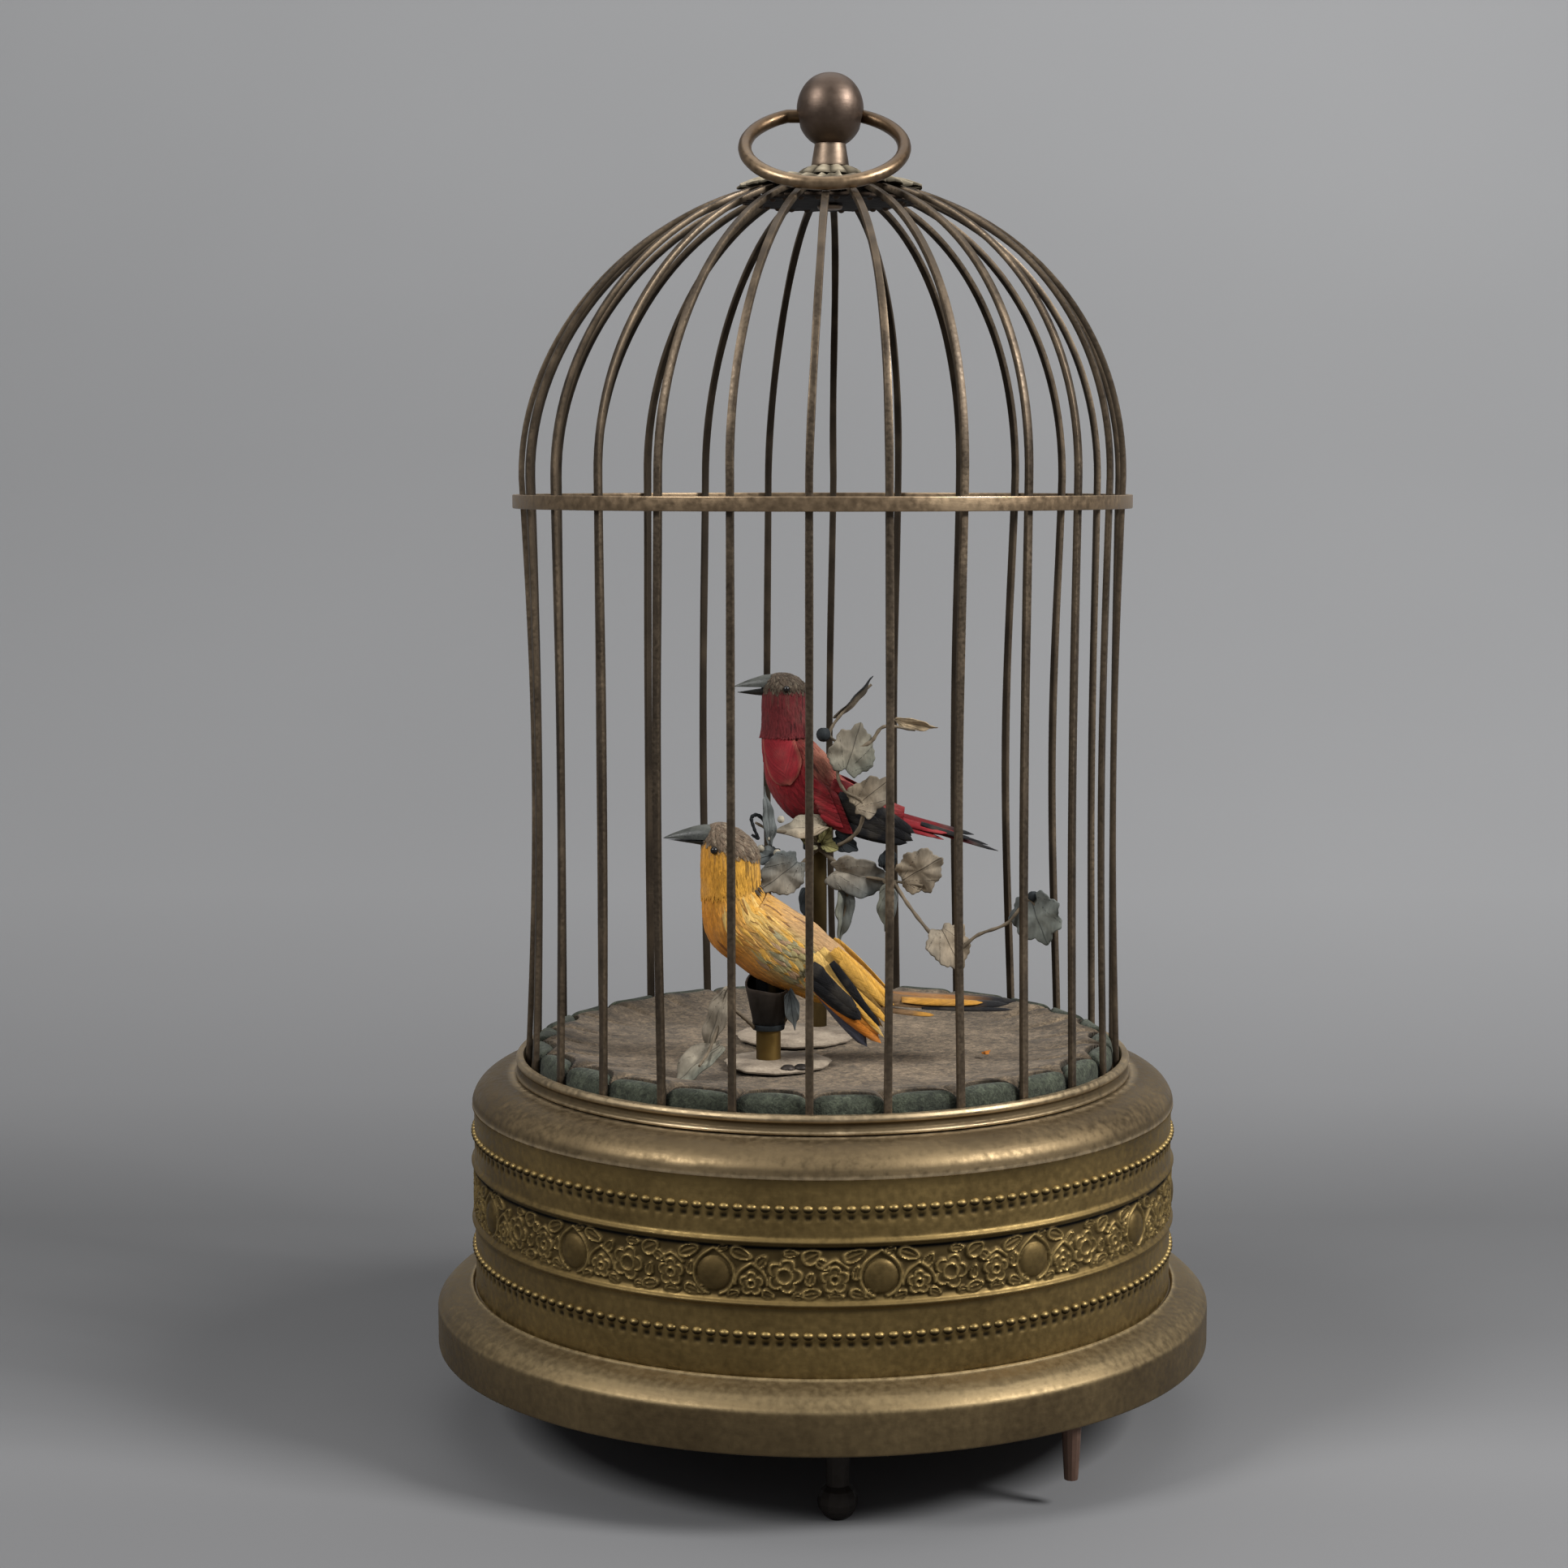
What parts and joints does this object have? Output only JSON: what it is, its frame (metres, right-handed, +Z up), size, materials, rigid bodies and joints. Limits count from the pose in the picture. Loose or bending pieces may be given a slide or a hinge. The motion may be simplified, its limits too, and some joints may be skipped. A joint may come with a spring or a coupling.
{
  "type": "singing bird automaton",
  "caption": "Domed brass wire birdcage on a round frieze-decorated drum base on small ball feet, with feathered mechanical birds on perch tubes, cloth leaves and a swinging carrying ring.",
  "frame": {"origin": "centre of the base's axis on the floor the feet stand on", "axes": "+Z up along the base's axis, front towards -Y, beaks towards -X"},
  "size_m": [0.162, 0.162, 0.2786],
  "materials": {
    "dull_brass": "aged, dull, brown",
    "aged_brass": "aged, olive brown",
    "dark_bronze": "dark patina",
    "verdigris_brass": "pale verdigris",
    "bright_brass": "satin",
    "steel": "satin",
    "dark_iron": "dark, worn",
    "red_brown_steel": "rusted",
    "stage_wood": "matt",
    "dusty_felt": "dusty",
    "pale_card": "matt",
    "leather": "matt",
    "yellow_feathers": "feathered",
    "red_feathers": "feathered",
    "grey_brown_feathers": "feathered",
    "horn_grey": "horn",
    "dusty_leaf": "dusty cloth"
  },
  "bodies": {
    "cage_and_base": {"base_shoulder": "dull_brass", "bellows_case": "leather", "bottom_plate": "stage_wood", "cage_wire_01": "dull_brass", "cage_wire_02": "dull_brass", "cage_wire_03": "dull_brass", "cage_wire_04": "dull_brass", "cage_wire_05": "dull_brass", "cage_wire_06": "dull_brass", "cage_wire_07": "dull_brass", "cage_wire_08": "dull_brass", "cage_wire_09": "dull_brass", "cage_wire_10": "dull_brass", "cage_wire_11": "dull_brass", "cage_wire_12": "dull_brass", "cage_wire_13": "dull_brass", "crown_collar": "verdigris_brass", "crown_plate": "dark_bronze", "felt_floor": "dusty_felt", "finial_ball": "dark_bronze", "finial_neck": "dull_brass", "foot_ring": "dark_bronze", "frieze_drum": "aged_brass", "front_bird_body": "yellow_feathers", "front_foot": "dark_iron", "front_leaf_spray": "dusty_leaf", "front_perch_tube": "dull_brass", "front_post_disc": "pale_card", "left_foot": "dark_iron", "mid_band": "dull_brass", "movement_frame": "bright_brass", "plinth_flange": "aged_brass", "rear_bird_body": "red_feathers", "rear_leaf_spray": "dusty_leaf", "rear_perch_tube": "dull_brass", "rear_post_disc": "pale_card", "right_foot": "dark_iron", "stage_plate": "stage_wood", "whistle_tube": "bright_brass"},
    "carrying_ring": {"carrying_ring": "dull_brass"},
    "front_head": {"front_bird_head": "grey_brown_feathers"},
    "front_beak": {"front_bird_lower_beak": "horn_grey"},
    "front_tail": {"front_bird_tail": "yellow_feathers"},
    "rear_head": {"rear_bird_head": "grey_brown_feathers"},
    "rear_beak": {"rear_bird_lower_beak": "horn_grey"},
    "rear_tail": {"rear_bird_tail": "red_feathers"},
    "front_rod": {"front_push_rod": "steel"},
    "rear_rod": {"rear_push_rod": "steel"},
    "front_lever": {"front_cam_lever": "steel"},
    "rear_lever": {"rear_cam_lever": "steel"},
    "barrel": {"mainspring_barrel": "bright_brass", "mainspring": "steel"},
    "winding": {"winding_key": "steel", "barrel_arbor": "steel"},
    "click": {"click_pawl": "steel"},
    "cam": {"cam_wheel": "bright_brass"},
    "fly": {"governor_fly": "bright_brass"},
    "bellows_top": {"bellows_board": "leather"},
    "piston": {"whistle_piston": "steel"},
    "start_lever": {"start_lever": "red_brown_steel"}
  },
  "joints": [
    {"name": "ring_swing", "type": "hinge", "parent": "cage_and_base", "child": "carrying_ring", "pos_m": [0, 0, 0.26958], "axis": [-1, 0, 0], "range_deg": [0, 240]},
    {"name": "front_lever_lift", "type": "hinge", "parent": "cage_and_base", "child": "front_lever", "pos_m": [0.034, -0.02, 0.0596], "axis": [0, 1, 0], "range_deg": [0, 2.55]},
    {"name": "front_rod_lift", "type": "slide", "parent": "cage_and_base", "child": "front_rod", "axis": [0, 0, 1], "range_m": [0, 0.00205]},
    {"name": "front_head_turn", "type": "hinge", "parent": "cage_and_base", "child": "front_head", "pos_m": [-0.0188, -0.02, 0.1147], "axis": [0, 0, 1], "range_deg": [0, 20.5]},
    {"name": "front_beak_open", "type": "hinge", "parent": "front_head", "child": "front_beak", "pos_m": [-0.0235, -0.02, 0.1237], "axis": [0, -1, 0], "range_deg": [0, 12.5]},
    {"name": "front_tail_flick", "type": "hinge", "parent": "cage_and_base", "child": "front_tail", "pos_m": [0.0125, -0.02, 0.0904], "axis": [0, -1, 0], "range_deg": [0, 8.5]},
    {"name": "rear_lever_lift", "type": "hinge", "parent": "cage_and_base", "child": "rear_lever", "pos_m": [0.034, 0.014, 0.0596], "axis": [0, 1, 0], "range_deg": [0, 3.27]},
    {"name": "rear_rod_lift", "type": "slide", "parent": "cage_and_base", "child": "rear_rod", "axis": [0, 0, 1], "range_m": [0, 0.00205]},
    {"name": "rear_head_turn", "type": "hinge", "parent": "cage_and_base", "child": "rear_head", "pos_m": [-0.0082, 0.014, 0.1419], "axis": [0, 0, 1], "range_deg": [-20.5, 0]},
    {"name": "rear_beak_open", "type": "hinge", "parent": "rear_head", "child": "rear_beak", "pos_m": [-0.0124, 0.014, 0.1518], "axis": [0, -1, 0], "range_deg": [-8.2, 0]},
    {"name": "rear_tail_flick", "type": "hinge", "parent": "cage_and_base", "child": "rear_tail", "pos_m": [0.0172, 0.014, 0.1243], "axis": [0, -1, 0], "range_deg": [0, 8.5]},
    {"name": "barrel_turn", "type": "hinge", "parent": "cage_and_base", "child": "barrel", "pos_m": [-0.0167, 0.00779, 0.024], "axis": [0, 0, 1], "continuous": true},
    {"name": "cam_turn", "type": "hinge", "parent": "cage_and_base", "child": "cam", "pos_m": [0.01, -0.003, 0.0213], "axis": [0, 0, 1], "continuous": true},
    {"name": "fly_spin", "type": "hinge", "parent": "cage_and_base", "child": "fly", "pos_m": [0.03537, -0.01223, 0.0213], "axis": [0, 0, 1], "continuous": true},
    {"name": "key_wind", "type": "hinge", "parent": "cage_and_base", "child": "winding", "pos_m": [-0.0167, 0.00779, 0.0187], "axis": [0, 0, 1], "continuous": true},
    {"name": "click_lift", "type": "hinge", "parent": "cage_and_base", "child": "click", "pos_m": [-0.0167, -0.00721, 0.0213], "axis": [0, 0, 1], "range_deg": [0, 8]},
    {"name": "bellows_pump", "type": "hinge", "parent": "cage_and_base", "child": "bellows_top", "pos_m": [-0.045, 0, 0.0604], "axis": [0, -1, 0], "range_deg": [0, 8]},
    {"name": "piston_slide", "type": "slide", "parent": "cage_and_base", "child": "piston", "axis": [1, 0, 0], "range_m": [-0.004, 0.002]},
    {"name": "start_lever_turn", "type": "hinge", "parent": "cage_and_base", "child": "start_lever", "pos_m": [0.03499, -0.04398, 0.0172], "axis": [0, 0, 1], "range_deg": [0, 25]}
  ],
  "couplings": [
    {"joint": "front_rod_lift", "follows": "front_lever_lift", "m_per_rad": 0.045},
    {"joint": "front_head_turn", "follows": "front_lever_lift", "ratio": 7.8555},
    {"joint": "front_beak_open", "follows": "front_lever_lift", "ratio": 4.7133},
    {"joint": "front_tail_flick", "follows": "front_lever_lift", "ratio": 3.1422},
    {"joint": "rear_rod_lift", "follows": "rear_lever_lift", "m_per_rad": 0.035},
    {"joint": "rear_head_turn", "follows": "rear_lever_lift", "ratio": -6.1087},
    {"joint": "rear_beak_open", "follows": "rear_lever_lift", "ratio": -2.4435},
    {"joint": "rear_tail_flick", "follows": "rear_lever_lift", "ratio": 2.4435},
    {"joint": "cam_turn", "follows": "barrel_turn", "ratio": -3},
    {"joint": "fly_spin", "follows": "barrel_turn", "ratio": 12}
  ]
}
